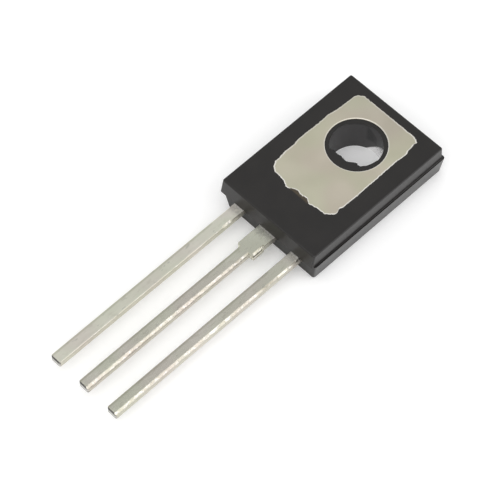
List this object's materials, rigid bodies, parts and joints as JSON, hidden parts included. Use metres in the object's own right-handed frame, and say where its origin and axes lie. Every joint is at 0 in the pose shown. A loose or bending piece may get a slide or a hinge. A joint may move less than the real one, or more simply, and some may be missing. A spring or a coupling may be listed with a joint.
{
  "type": "thyristor",
  "caption": "Flat moulded power thyristor with a bare anode plate, a lined screw hole and straight flat leads, lying on its printed side.",
  "frame": {"origin": "on the axis of the screw hole, at the printed side that the part lies on", "axes": "+Z along the hole's axis towards the bare anode plate, -Y along the leads, +X to the side of the cathode lead"},
  "size_m": [0.0075, 0.0252, 0.0025],
  "materials": {
    "moulded_epoxy": "satin black moulding compound",
    "plated_copper": "matt tin plating, a little warm",
    "silicon": "smooth grey silicon",
    "solder": "dull grey solder",
    "aluminium_wire": "drawn bright wire"
  },
  "bodies": {
    "root": {"package_body": "moulded_epoxy", "anode_plate": "plated_copper", "cathode_lead": "plated_copper", "gate_lead": "plated_copper", "thyristor_die": "silicon", "die_solder": "solder", "cathode_wire": "aluminium_wire", "gate_wire": "aluminium_wire"}
  },
  "joints": []
}
